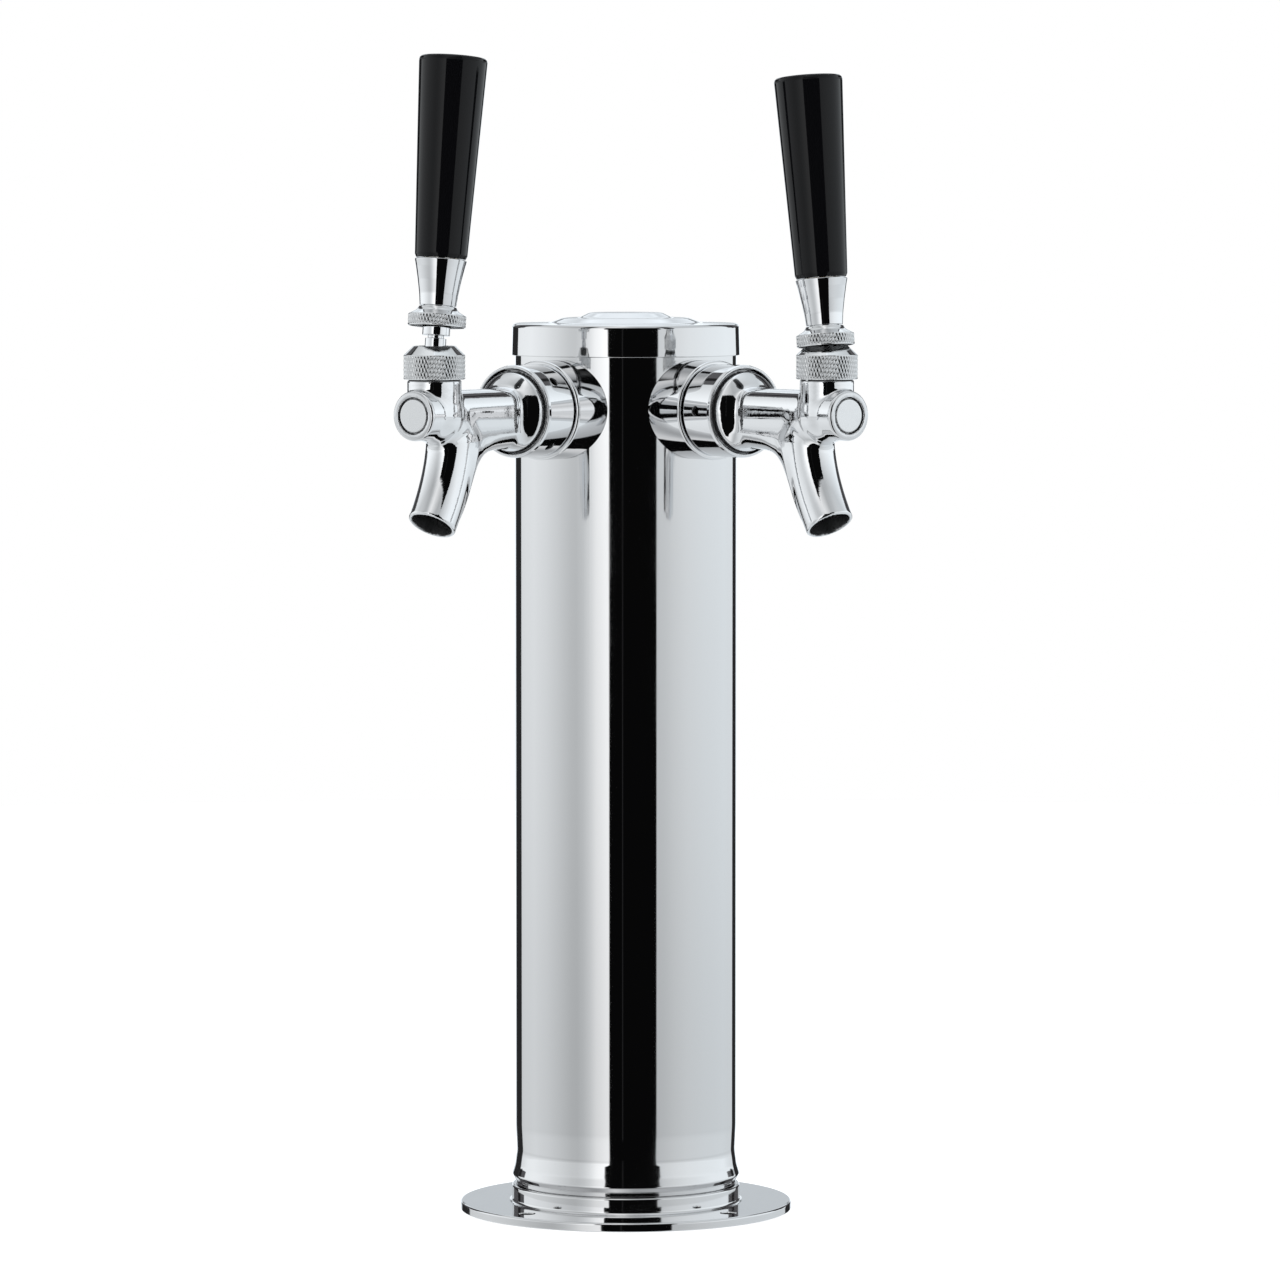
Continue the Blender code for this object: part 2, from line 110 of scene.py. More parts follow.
def makeCamera():
    turn = math.radians(view["azimuth"])
    back = np.array([math.sin(turn), -math.cos(turn), 0.0])
    right = np.array([math.cos(turn), math.sin(turn), 0.0])
    where = columnAxis + back * view["distance"] + right * view["sideways"] + upright * view["height"]
    lens = bpy.data.cameras.new("camera")
    lens.lens = view["lens"]
    lens.sensor_width = view["sensor"]
    lens.clip_start, lens.clip_end = view["clip"]
    camera = bpy.data.objects.new("camera", lens)
    camera.location = where * mm
    camera.rotation_euler = (math.radians(90 - view["pitch"]), 0.0, turn)
    scene.collection.objects.link(camera)
    scene.camera = camera


# the light tent round the object, in degrees from the front towards +X and by height from -1 to 1
tent = {
    "walls": [  # degrees, brightness, how far the tint is cool
        (-180, 0.95, 0.6), (-165, 0.95, 0.6), (-141.5, 0.90, 0.6), (-130, 0.96, 0.6), (-112, 1.00, 0.6),
        (-92, 0.92, 0.6), (-75, 0.80, 0.6), (-60, 0.68, 0.6), (-53, 0.66, 0.6), (-46, 0.73, 0.6), (-39, 0.87, 0.5),
        (-32, 1.08, 0.3), (-20, 1.26, 0.2), (15, 0.68, 0.6), (37.7, 0.74, 0.7), (51, 0.83, 0.7), (66, 0.90, 0.8),
        (90, 0.95, 1.0), (121, 0.98, 1.1), (147, 0.92, 1.0), (180, 0.95, 0.6),
    ],
    "tint": (0.944, 1.0, 1.035),
    "heights": [(-1.0, 0.85), (-0.5, 0.85), (-0.25, 0.95), (-0.185, 0.92), (-0.148, 0.85), (-0.12, 0.88),
                (-0.09, 0.97), (-0.055, 1.03), (-0.04, 1.07), (-0.02, 1.18), (0.03, 1.15), (0.22, 1.2), (0.42, 1.0),
                (0.66, 0.74), (0.85, 0.8), (1.0, 1.0)],
    # the wall behind the object, by height, over what its heights already give
    "behind": [(-1.0, 1.0), (0.0, 1.1), (0.01, 0.5), (0.026, 0.5), (0.045, 1.25), (0.06, 1.2), (0.11, 0.66),
               (0.146, 0.58), (0.168, 0.56), (0.18, 0.2), (0.22, 0.18), (0.235, 0.95), (0.5, 1.0), (0.58, 1.6),
               (0.8, 1.6), (1.0, 1.3)],
    "behindFrom": (150.0, 168.0),  # degrees to either side over which that wall comes in
    "behindTint": (0.97, 1.0, 1.03),
    # dark cards: level, start and end in degrees, how far each end spreads higher up, bottom and top
    "cards": [
        (0.003, -18.2, 31.0, -5.0, 4.0, -0.86, 0.60),
        (0.035, -4.6, -4.1, 0.0, 0.0, -0.20, 0.60),
        (0.110, -165.0, -141.5, 5.0, 14.0, 0.02, 0.66),
        (0.110, 147.0, 165.0, -20.0, -5.0, 0.02, 0.66),
        (0.025, -165.0, -141.5, 0.0, 4.0, -0.30, 0.05),
        (0.025, 147.0, 165.0, -6.0, 0.0, -0.30, 0.05),
        (0.020, -143.0, -136.0, 0.0, 0.0, 0.02, 0.66),
        (0.020, 136.0, 143.0, 0.0, 0.0, 0.02, 0.66),
    ],
    "cardTint": (1.0, 1.0, 1.05),
    "cardEdge": (0.6, 0.02),  # how soft a card's sides are in degrees, and its bottom and top in height
    "cardSpread": 0.12,  # height at which the ends have spread in full
    "strength": 1.0,
}


def cardGroup():
    # Cover is 1 on a card between two directions and two heights, and 0 off it
    names = ["Degrees", "Height", "Start", "End", "Start Spread", "End Spread", "Bottom", "Top"]
    group, inside, outside = newGroup("tent card", names, ["Cover"])
    new, link = group.nodes.new, group.links.new

    def step(value, edge, soft, sign):
        # 0 to 1 as the value passes the edge, upwards for sign 1 and downwards for -1
        gap = new("ShaderNodeMath")
        gap.operation = "SUBTRACT"
        link(value if sign > 0 else edge, gap.inputs[0])
        link(edge if sign > 0 else value, gap.inputs[1])
        ease = new("ShaderNodeMapRange")
        ease.interpolation_type = "SMOOTHSTEP"
        link(gap.outputs[0], ease.inputs["Value"])
        ease.inputs["From Min"].default_value, ease.inputs["From Max"].default_value = -soft, soft
        return ease.outputs[0]

    rise = new("ShaderNodeMapRange")
    rise.interpolation_type = "SMOOTHSTEP"
    link(inside.outputs["Height"], rise.inputs["Value"])
    rise.inputs["From Min"].default_value, rise.inputs["From Max"].default_value = 0.0, tent["cardSpread"]
    sides = []
    softSide, softEnd = tent["cardEdge"]
    for end, sign in (("Start", 1), ("End", -1)):
        edge = new("ShaderNodeMath")
        edge.operation = "MULTIPLY_ADD"
        link(rise.outputs[0], edge.inputs[0])
        link(inside.outputs[end + " Spread"], edge.inputs[1])
        link(inside.outputs[end], edge.inputs[2])
        sides.append(step(inside.outputs["Degrees"], edge.outputs[0], softSide, sign))
    for end, sign in (("Bottom", 1), ("Top", -1)):
        sides.append(step(inside.outputs["Height"], inside.outputs[end], softEnd, sign))
    for side in sides[1:]:
        both = new("ShaderNodeMath")
        both.operation = "MULTIPLY"
        link(sides[0], both.inputs[0])
        link(side, both.inputs[1])
        sides[0] = both.outputs[0]
    link(sides[0], outside.inputs["Cover"])
    return group


def makeWorld():
    world = bpy.data.worlds.new("tent")
    scene.world = world
    world.use_nodes = True
    tree = world.node_tree
    tree.nodes.clear()
    new, link = tree.nodes.new, tree.links.new

    def worked(operation, a, b, c=0.0):
        node = new("ShaderNodeMath")
        node.operation = operation
        for socket, value in zip(node.inputs, (a, b, c)):
            if isinstance(value, (int, float)):
                socket.default_value = value
            else:
                link(value, socket)
        return node.outputs[0]

    def rampOf(value, stops):
        # stops are (place from 0 to 1, red, green, blue)
        ramp = new("ShaderNodeValToRGB")
        elements = ramp.color_ramp.elements
        while len(elements) > 1:
            elements.remove(elements[-1])
        for i, (place, *colour) in enumerate(stops):
            stop = elements[0] if i == 0 else elements.new(place)
            stop.position = place
            stop.color = (*colour, 1.0)
        link(value, ramp.inputs[0])
        return ramp.outputs[0]

    def mixed(factor, a, b, blend="MIX"):
        node = new("ShaderNodeMix")
        node.data_type, node.blend_type = "RGBA", blend
        for socket, value in zip((node.inputs["Factor"], node.inputs["A"], node.inputs["B"]), (factor, a, b)):
            if isinstance(value, (float, tuple)):
                socket.default_value = value
            else:
                link(value, socket)
        return node.outputs["Result"]

    direction = new("ShaderNodeSeparateXYZ")
    link(new("ShaderNodeTexCoord").outputs["Generated"], direction.inputs[0])
    x, y, z = direction.outputs
    degrees = worked("MULTIPLY", worked("ARCTAN2", x, worked("MULTIPLY", y, -1.0)), 180 / math.pi)
    height = worked("MULTIPLY_ADD", z, 0.5, 0.5)
    walls = [((place + 180) / 360, *(level * (1 + cool * (t - 1)) for t in tent["tint"]))
             for place, level, cool in tent["walls"]]
    shades = rampOf(worked("MULTIPLY_ADD", degrees, 1 / 360, 0.5), walls)
    back = new("ShaderNodeMapRange")
    back.interpolation_type = "SMOOTHSTEP"
    link(worked("ABSOLUTE", degrees, 0.0), back.inputs["Value"])
    back.inputs["From Min"].default_value, back.inputs["From Max"].default_value = tent["behindFrom"]
    rear = rampOf(height, [((place + 1) / 2, *(level * t for t in tent["behindTint"]))
                           for place, level in tent["behind"]])
    shades = mixed(back.outputs[0], shades, mixed(1.0, shades, rear, "MULTIPLY"))
    levels = rampOf(height, [((place + 1) / 2, level, level, level) for place, level in tent["heights"]])
    shades = mixed(1.0, shades, levels, "MULTIPLY")
    group = cardGroup()
    for level, *numbers in tent["cards"]:
        card = placeGroup(tree, group, **dict(zip(
            ("Start", "End", "Start Spread", "End Spread", "Bottom", "Top"), numbers)))
        link(degrees, card.inputs["Degrees"])
        link(z, card.inputs["Height"])
        shades = mixed(card.outputs["Cover"], shades, (*(level * t for t in tent["cardTint"]), 1.0))

    # the camera itself sees plain white
    seen = mixed(new("ShaderNodeLightPath").outputs["Is Camera Ray"], shades, (1.0, 1.0, 1.0, 1.0))
    shade = new("ShaderNodeBackground")
    link(seen, shade.inputs["Color"])
    shade.inputs["Strength"].default_value = tent["strength"]
    link(shade.outputs[0], new("ShaderNodeOutputWorld").inputs["Surface"])


ground = {"radius": 1.6, "drop": 0.0002, "shade": 0.9, "rough": 0.9, "shine": 0.1, "glow": 0.55}


def makeFloor():
    mesh = bpy.data.meshes.new("floor")
    work = bmesh.new()
    bmesh.ops.create_circle(work, cap_ends=True, radius=ground["radius"], segments=96)
    work.to_mesh(mesh)
    work.free()
    floor = bpy.data.objects.new("floor", mesh)
    floor.location.z = -ground["drop"]
    scene.collection.objects.link(floor)
    pale, shader = newMaterial("pale_floor")
    shader.inputs["Base Color"].default_value = (*[ground["shade"]] * 3, 1.0)
    shader.inputs["Roughness"].default_value = ground["rough"]
    shader.inputs["Specular IOR Level"].default_value = ground["shine"]
    shader.inputs["Emission Color"].default_value = (1.0, 1.0, 1.0, 1.0)
    shader.inputs["Emission Strength"].default_value = ground["glow"]
    mesh.materials.append(pale)
    floor.visible_glossy = False


lamps = {"softLeft": (-0.9, -0.6, 0.9), "softRight": (0.9, -0.5, 0.9)}
lamp = {"size": 0.8, "power": 5.0, "aim": (0, 0, 0.2)}


def makeLights():
    for name, where in lamps.items():
        light = bpy.data.lights.new(name, "AREA")
        light.shape, light.size, light.energy = "DISK", lamp["size"], lamp["power"]
        holder = bpy.data.objects.new(name, light)
        holder.location = where
        holder.rotation_euler = (Vector(lamp["aim"]) - Vector(where)).to_track_quat("-Z", "Y").to_euler()
        holder.visible_glossy = False
        holder.visible_camera = False
        scene.collection.objects.link(holder)


# materials

def newMaterial(name):
    made = bpy.data.materials.new(name)
    made.use_nodes = True
    return made, made.node_tree.nodes["Principled BSDF"]


def newGroup(name, inputs, outputs):
    # a node group with number sockets, except those whose name ends in Normal or Point
    group = bpy.data.node_groups.new(name, "ShaderNodeTree")
    for names, inOut in ((inputs, "INPUT"), (outputs, "OUTPUT")):
        for socket in names:
            kind = "NodeSocketVector" if socket.endswith(("Normal", "Point")) else "NodeSocketFloat"
            group.interface.new_socket(socket, in_out=inOut, socket_type=kind)
    return group, group.nodes.new("NodeGroupInput"), group.nodes.new("NodeGroupOutput")


cloudLook = {"detail": 6.0, "roughness": 0.62, "from": 0.42, "to": 0.74}


def smudgeGroup():
    # clouds of handling and wiping: Mask is 0 on clean metal and 1 on the worst smear
    group, inside, outside = newGroup("smudges", ["Scale", "Stretch", "Amount"], ["Mask", "Height"])
    new, link = group.nodes.new, group.links.new
    where = new("ShaderNodeTexCoord")
    squash = new("ShaderNodeCombineXYZ")
    for axis in ("X", "Y"):
        squash.inputs[axis].default_value = 1.0
    link(inside.outputs["Stretch"], squash.inputs["Z"])
    spread = new("ShaderNodeVectorMath")
    spread.operation = "MULTIPLY"
    link(where.outputs["Object"], spread.inputs[0])
    link(squash.outputs[0], spread.inputs[1])
    cloud = new("ShaderNodeTexNoise")
    cloud.inputs["Detail"].default_value = cloudLook["detail"]
    cloud.inputs["Roughness"].default_value = cloudLook["roughness"]
    link(spread.outputs[0], cloud.inputs["Vector"])
    link(inside.outputs["Scale"], cloud.inputs["Scale"])
    edge = new("ShaderNodeMapRange")
    edge.interpolation_type = "SMOOTHSTEP"
    link(cloud.outputs["Fac"], edge.inputs["Value"])
    edge.inputs["From Min"].default_value = cloudLook["from"]
    edge.inputs["From Max"].default_value = cloudLook["to"]
    scaled = new("ShaderNodeMath")
    scaled.operation = "MULTIPLY"
    link(edge.outputs[0], scaled.inputs[0])
    link(inside.outputs["Amount"], scaled.inputs[1])
    link(scaled.outputs[0], outside.inputs["Mask"])
    link(cloud.outputs["Fac"], outside.inputs["Height"])
    return group


def placeGroup(tree, group, **values):
    node = tree.nodes.new("ShaderNodeGroup")
    node.node_tree = group
    for name, value in values.items():
        node.inputs[name].default_value = value
    return node


waveDepth, grainDepth = 0.002, 0.0003  # metres, at a strength of 1

# colour, clean roughness, how much a smear adds, the smears' scale, stretch and amount, waviness of the
# polish, and how dark (painted shade) and rough the metal is where it is cut or hollow
metals = {
    "tubeSteel": {"colour": (0.70, 0.70, 0.705), "rough": 0.035, "smear": 0.10, "scale": 22.0, "stretch": 0.45,
                  "amount": 0.7, "wave": 0.004},
    "turnedSteel": {"colour": (0.72, 0.72, 0.725), "rough": 0.04, "smear": 0.08, "scale": 45.0, "stretch": 1.0,
                    "amount": 0.6, "wave": 0.004},
    "castChrome": {"colour": (0.80, 0.805, 0.815), "rough": 0.03, "smear": 0.06, "scale": 90.0, "stretch": 1.0,
                   "amount": 0.6, "wave": 0.035, "hollow": (0.45, 0.35)},
    "turnedChrome": {"colour": (0.80, 0.805, 0.815), "rough": 0.035, "smear": 0.06, "scale": 90.0,
                     "stretch": 1.0, "amount": 0.6, "wave": 0.006},
    # a dark copy of the chrome: painted shade for the walls of drilled holes
    "holeShadeChrome": {"colour": (0.16, 0.16, 0.165), "rough": 0.30, "smear": 0.10, "scale": 90.0, "stretch": 1.0,
                   "amount": 0.8, "wave": 0.02},
    "knurledChrome": {"colour": (0.78, 0.785, 0.79), "rough": 0.06, "smear": 0.08, "scale": 160.0,
                      "stretch": 1.0, "amount": 0.8, "wave": 0.02, "hollow": (0.20, 0.30)},
    "satinPlug": {"colour": (0.78, 0.785, 0.79), "rough": 0.22, "smear": 0.10, "scale": 160.0,
                  "stretch": 1.0, "amount": 0.8, "wave": 0.02},
    "brass": {"colour": (0.72, 0.52, 0.22), "rough": 0.24, "smear": 0.14, "scale": 90.0, "stretch": 1.0,
              "amount": 0.8, "wave": 0.05},
}


def metalMaterial(name, smudges):
    values = metals[name]
    material, shader = newMaterial(name)
    tree = material.node_tree
    new, link = tree.nodes.new, tree.links.new
    shader.inputs["Base Color"].default_value = (*values["colour"], 1.0)
    shader.inputs["Metallic"].default_value = 1.0
    smear = placeGroup(tree, smudges, Scale=values["scale"], Stretch=values["stretch"], Amount=values["amount"])
    rough = new("ShaderNodeMath")
    rough.operation = "MULTIPLY_ADD"
    link(smear.outputs["Mask"], rough.inputs[0])
    rough.inputs[1].default_value = values["smear"]
    rough.inputs[2].default_value = values["rough"]
    link(rough.outputs[0], shader.inputs["Roughness"])
    # painted shade: where the mesh's mask is set, the colour is darkened as shade in hollows and grooves, and made
    # rougher
    if "hollow" in values:
        dark, rougher = values["hollow"]
        painted_shade_and_darkening = new("ShaderNodeAttribute")
        painted_shade_and_darkening.attribute_name = "painted_shade_and_darkening"
        shade = new("ShaderNodeMix")
        shade.data_type = "RGBA"
        link(painted_shade_and_darkening.outputs["Fac"], shade.inputs["Factor"])
        shade.inputs["A"].default_value = (*values["colour"], 1.0)
        shade.inputs["B"].default_value = (*(c * dark for c in values["colour"]), 1.0)
        link(shade.outputs["Result"], shader.inputs["Base Color"])
        more = new("ShaderNodeMath")
        more.operation = "MULTIPLY_ADD"
        link(painted_shade_and_darkening.outputs["Fac"], more.inputs[0])
        more.inputs[1].default_value = rougher
        link(rough.outputs[0], more.inputs[2])
        link(more.outputs[0], shader.inputs["Roughness"])
    bump = new("ShaderNodeBump")
    bump.inputs["Strength"].default_value = values["wave"]
    bump.inputs["Distance"].default_value = waveDepth
    link(smear.outputs["Height"], bump.inputs["Height"])
    link(bump.outputs[0], shader.inputs["Normal"])
    return material


# colour, roughness, bump scale and strength of things that aren't metal
plains = {
    "blackPlastic": {"colour": (0.0025, 0.0025, 0.003), "rough": 0.05, "scale": 900.0, "bump": 0.01, "gloss": 0.21},
    "blackRubber": {"colour": (0.018, 0.018, 0.018), "rough": 0.7, "scale": 1400.0, "bump": 0.25, "gloss": 0.4},
    "darkFoam": {"colour": (0.045, 0.045, 0.05), "rough": 0.95, "scale": 900.0, "bump": 0.8, "gloss": 0.3},
    "whiteNylon": {"colour": (0.74, 0.73, 0.69), "rough": 0.45, "scale": 700.0, "bump": 0.1, "gloss": 0.5},
}


def plainMaterial(name):
    values = plains[name]
    material, shader = newMaterial(name)
    new, link = material.node_tree.nodes.new, material.node_tree.links.new
    where = new("ShaderNodeTexCoord")
    grain = new("ShaderNodeTexNoise")
    link(where.outputs["Object"], grain.inputs["Vector"])
    grain.inputs["Scale"].default_value = values["scale"]
    tone = new("ShaderNodeMapRange")
    link(grain.outputs["Fac"], tone.inputs["Value"])
    for end, share in (("To Min", 0.85), ("To Max", 1.15)):
        tone.inputs[end].default_value = values["rough"] * share
    link(tone.outputs[0], shader.inputs["Roughness"])
    bump = new("ShaderNodeBump")
    bump.inputs["Strength"].default_value = values["bump"]
    bump.inputs["Distance"].default_value = grainDepth
    link(grain.outputs["Fac"], bump.inputs["Height"])
    link(bump.outputs[0], shader.inputs["Normal"])
    shader.inputs["Base Color"].default_value = (*values["colour"], 1.0)
    shader.inputs["Specular IOR Level"].default_value = values["gloss"]
    return material


# surfaces

arcStep = 9  # degrees of a fillet to each flat


def rounded(corners, reach=0.12):
    # an outline through (radius, along, fillet) corners: each fillet is an arc that meets both its sides,
    # with a guide point close by on each side, so that the flats between stay flat when smooth shaded
    points = [np.array(c[:2], float) for c in corners]
    fillets = [c[2] if len(c) > 2 else 0.0 for c in corners]
    outline = []
    for i, (point, fillet) in enumerate(zip(points, fillets)):
        if fillet <= 0 or i in (0, len(points) - 1):
            outline.append(point)
            continue
        before, after = points[i - 1] - point, points[i + 1] - point
        lengths = np.linalg.norm(before), np.linalg.norm(after)
        before, after = before / lengths[0], after / lengths[1]
        half = 0.5 * math.acos(np.clip(before @ after, -1, 1))
        setback = min(fillet / math.tan(half), 0.49 * min(lengths))
        radius = setback * math.tan(half)
        middle = point + (before + after) / np.linalg.norm(before + after) * (radius / math.sin(half))
        start, end = point + before * setback, point + after * setback
        a, b = start - middle, end - middle
        sweep = math.pi - 2 * half
        count = max(3, int(math.degrees(sweep) / arcStep))
        turns = np.linspace(0, 1, count + 1)[:, None] * sweep
        arc = middle + (a * np.sin(sweep - turns) + b * np.sin(turns)) / math.sin(sweep)
        outline.append(start + before * min(reach, 0.2 * lengths[0]))
        outline.extend(arc)
        outline.append(end + after * min(reach, 0.2 * lengths[1]))
    return np.array(outline)


def revolve(outline, steps, closed, shape=None):
    # outline point (radius, along) goes to (radius cos t, radius sin t, along) for t once round;
    # shape may change (radius, t, along) first, each a whole grid, and add a mask of painted shade where it has cut
    t = np.arange(steps) / steps * 2 * math.pi
    radius, turn = np.meshgrid(outline[:, 0], t, indexing="ij")
    along = np.repeat(outline[:, 1:2], steps, axis=1)
    mask = np.zeros(radius.shape)
    if shape:
        radius, along, mask = shape(radius, turn, along)
    points = np.stack([radius * np.cos(turn), radius * np.sin(turn), along], axis=-1)
    index = np.arange(radius.size).reshape(radius.shape)
    index = np.concatenate([index, index[:, :1]], axis=1)
    if closed:
        index = np.concatenate([index, index[:1]], axis=0)
    quads = np.stack([index[:-1, :-1], index[1:, :-1], index[1:, 1:], index[:-1, 1:]], axis=-1)
    return points.reshape(-1, 3), quads.reshape(-1, 4), mask.ravel()


sharpAngle = 40.0  # degrees


def meshOf(name, shape, place, sharp=sharpAngle):
    # shape is its points, its quads and a mask from 0 to 1 of painted shade and darkening that its material may read;
    # the quads are turned to face outwards, which is where the volume under them comes out positive
    points, quads, mask = shape
    corners = points[quads]
    volume = np.einsum("ij,ij->", np.cross(corners[:, 0], corners[:, 1]), corners[:, 2])
    volume += np.einsum("ij,ij->", np.cross(corners[:, 0], corners[:, 2]), corners[:, 3])
    if volume * np.linalg.det(place[:3, :3]) < 0:
        quads = quads[:, ::-1]
    world = points @ place[:3, :3].T + place[:3, 3]
    mesh = bpy.data.meshes.new(name)
    mesh.vertices.add(len(world))
    mesh.vertices.foreach_set("co", (world * mm).astype(np.float32).ravel())
    mesh.loops.add(quads.size)
    mesh.loops.foreach_set("vertex_index", quads.astype(np.int32).ravel())
    mesh.polygons.add(len(quads))
    mesh.polygons.foreach_set("loop_start", np.arange(0, quads.size, 4, dtype=np.int32))
    mesh.update(calc_edges=True)
    mesh.attributes.new("painted_shade_and_darkening", "FLOAT", "POINT").data.foreach_set("value", mask.astype(np.float32))
    work = bmesh.new()
    work.from_mesh(mesh)
    bmesh.ops.remove_doubles(work, verts=work.verts, dist=2e-6)  # poles
    work.to_mesh(mesh)
    work.free()
    mesh.shade_smooth()
    mesh.set_sharp_from_angle(angle=math.radians(sharp))
    return mesh


def addPiece(name, mesh, material, body, slotName, *nodes):
    piece = bpy.data.objects.new(name, mesh)
    scene.collection.objects.link(piece)
    if material:
        mesh.materials.clear()
        mesh.materials.append(materials[material])
    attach(piece, body)
    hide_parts(*nodes)


def cutBy(name, mesh, cutters, finishes=()):
    # the mesh less each cutter, as one new mesh; finishes are for its own faces and for the cut ones
    for part in (mesh, *cutters):
        for finish in finishes:
            part.materials.append(materials[finish])
    if finishes:
        for cutter in cutters:
            cutter.polygons.foreach_set("material_index", np.ones(len(cutter.polygons), dtype=np.int32))
    whole = bpy.data.objects.new(name + "_whole", mesh)
    scene.collection.objects.link(whole)
    helpers = [whole]
    for i, cutter in enumerate(cutters):
        helper = bpy.data.objects.new(f"{name}_cutter_{i}", cutter)
        scene.collection.objects.link(helper)
        helpers.append(helper)
        boolean = whole.modifiers.new(f"cut_{i}", "BOOLEAN")
        boolean.object, boolean.operation, boolean.solver = helper, "DIFFERENCE", "EXACT"
    bpy.context.view_layer.update()
    result = bpy.data.meshes.new_from_object(whole.evaluated_get(bpy.context.evaluated_depsgraph_get()))
    for helper in helpers:
        bpy.data.objects.remove(helper, do_unlink=True)
    result.name = name
    result.shade_smooth()
    result.set_sharp_from_angle(angle=math.radians(sharpAngle))
    return result


def lyingPlace(side):
    # axes of a faucet's turned pieces: their own z lies along the faucet, their own x points up
    place = faucetPlace[side]
    return placeOf(place[:3, 3], place[:3, 2], place[:3, 1], place[:3, 0])


# column, base and cap

roundSteps = 256  # facets round the column, base and cap
column = {"radius": 38.1, "bore": 36.9, "top": 301.0, "beadRadius": 39.3, "shankHole": 11.6}


def makeColumn():
    radius, bore = column["radius"], column["bore"]
    outline = rounded([
        (bore, column["top"], 0.3),
        (radius, column["top"], 0.3),
        (radius, 29.0, 60.0),
        (37.7, 20.5, 12.0),
        (38.35, 15.5, 8.0),
        (column["beadRadius"], 12.3, 1.1),
        (38.2, 10.4, 0.3),
        (38.05, 9.1, 0.1),
        (bore, 9.1, 0.1),
        (bore, 12.0),
    ])
    tube = meshOf("column", revolve(outline, roundSteps, True), columnPlace)
    rod = np.array([(0.0, 45.0), (column["shankHole"], 45.0), (column["shankHole"], 30.0), (0.0, 30.0)])
    holes = [meshOf("hole", revolve(rod, 64, False), lyingPlace(side)) for side in ("left", "right")]
    addPiece("column", cutBy("column", tube, holes), "tubeSteel", "tower", "tube_steel", "column_tube")


base = {
    "radius": 57.15, "thickness": 3.03, "neck": 39.35, "neckTop": 8.8, "spigot": 36.6, "spigotTop": 25.0,
    "bore": 33.0, "recess": 1.3, "holes": 4, "firstHole": 45, "holeRadius": 2.6, "holeCircle": 48.5,
}


def makeBase():
    outline = rounded([
        (base["bore"], base["spigotTop"]),
        (base["bore"] + 0.5, base["spigotTop"], 0.4),
        (base["spigot"], base["spigotTop"], 0.8),
        (base["spigot"], base["neckTop"], 0.1),
        (base["neck"], base["neckTop"], 0.7),
        (base["neck"], base["thickness"], 1.1),
        (base["radius"], base["thickness"], 0.75),
        (base["radius"], 0.0, 0.35),
        (55.0, 0.0, 0.1),
        (55.0, base["recess"], 0.1),
        (41.0, base["recess"], 0.1),
        (41.0, 0.0, 0.1),
        (base["bore"], 0.0, 0.3),
        (base["bore"], 2.0),
    ])
    flange = meshOf("base_flange", revolve(outline, roundSteps, True), columnPlace)
    drills = []
    for i in range(base["holes"]):
        turn = math.radians(base["firstHole"] + 360 / base["holes"] * i)
        place = columnPlace.copy()
        place[:2, 3] += base["holeCircle"] * np.array([math.cos(turn), math.sin(turn)])
        drill = rounded([
            (0.0, 9.0), (5.0, 9.0), (base["holeRadius"] + 0.35, 3.08), (base["holeRadius"], 2.7),
            (base["holeRadius"], -5.0), (0.0, -5.0),
        ])
        drills.append(meshOf("drill", revolve(drill, 48, False), place))
    addPiece("flange", cutBy("base_flange", flange, drills), "turnedSteel", "tower", "flange_steel", "base_flange")


cap = {
    "radius": 39.3, "bottom": 295.0, "top": 305.9,
    "disc": [(12.4, 309.6), (16.1, 307.8)],  # radius and height of its top edge and of its foot
    "ring": [(21.5, 307.82), (26.1, 306.1)],
    "skirt": 38.4, "spigot": (34.9, 36.6), "spigotFoot": 293.5, "seat": 301.3,
}


def makeCap():
    inner, outer = cap["spigot"]
    outline = rounded([
        (0.0, cap["disc"][0][1]),
        *((*corner, 3.2) for corner in cap["disc"]),
        *((*corner, 4.5) for corner in cap["ring"]),
        (cap["radius"] - 0.3, cap["top"], 1.4),
        (cap["radius"], cap["bottom"], 0.25),
        (cap["skirt"], cap["bottom"], 0.15),
        (cap["skirt"], cap["seat"], 0.1),
        (outer, cap["seat"], 0.1),
        (outer, cap["spigotFoot"], 0.4),
        (inner, cap["spigotFoot"], 0.4),
        (inner, 304.0, 1.0),
        (24.5, 304.2, 0.6),
        (22.0, 305.9, 0.6),
        (14.5, 306.0, 0.6),
        (11.0, 307.6, 0.6),
        (0.0, 307.6),
    ])
    mesh = meshOf("cap", revolve(outline, roundSteps, False), columnPlace)
    addPiece("cap", mesh, "turnedSteel", "cap", "cap_steel", "top_cap")


# a faucet

collar = {"radius": 16.8, "front": 51.0, "inside": 45.0, "bore": 11.4, "columnRadius": 38.4, "saddleRows": 9}


def makeCollar(side):
    rows = collar["saddleRows"]
    outline = rounded([
        (collar["bore"], collar["inside"]),
        (collar["bore"], collar["front"], 0.3),
        (collar["radius"], collar["front"], 0.9),
        (collar["radius"], 44.0, 0.0),
    ])
    outline = np.concatenate([outline, outline[-1:].repeat(rows, axis=0), outline[:1].repeat(rows, axis=0)])

    def saddle(radius, turn, along):
        # both back rims follow the column: along = sqrt(R^2 - (r sin t)^2); the last rows lead down the
        # outside to one rim, and from the other rim up the bore
        share = np.linspace(0, 1, rows)[:, None]
        rim, rimIn = (np.sqrt(collar["columnRadius"] ** 2 - (collar[k] * np.sin(turn[0])) ** 2)
                      for k in ("radius", "bore"))
        start = along[-2 * rows].copy()
        along[-2 * rows:-rows] = start + (rim - start) * share
        along[-rows:] = rimIn + (collar["inside"] - rimIn) * share
        return radius, along, np.zeros(radius.shape)

    mesh = meshOf(f"shank_collar_{side}", revolve(outline, 192, True, saddle), lyingPlace(side))
    addPiece(f"collar_{side}", mesh, "turnedChrome", "tower", "collar_steel", f"shank_collar_{side}")


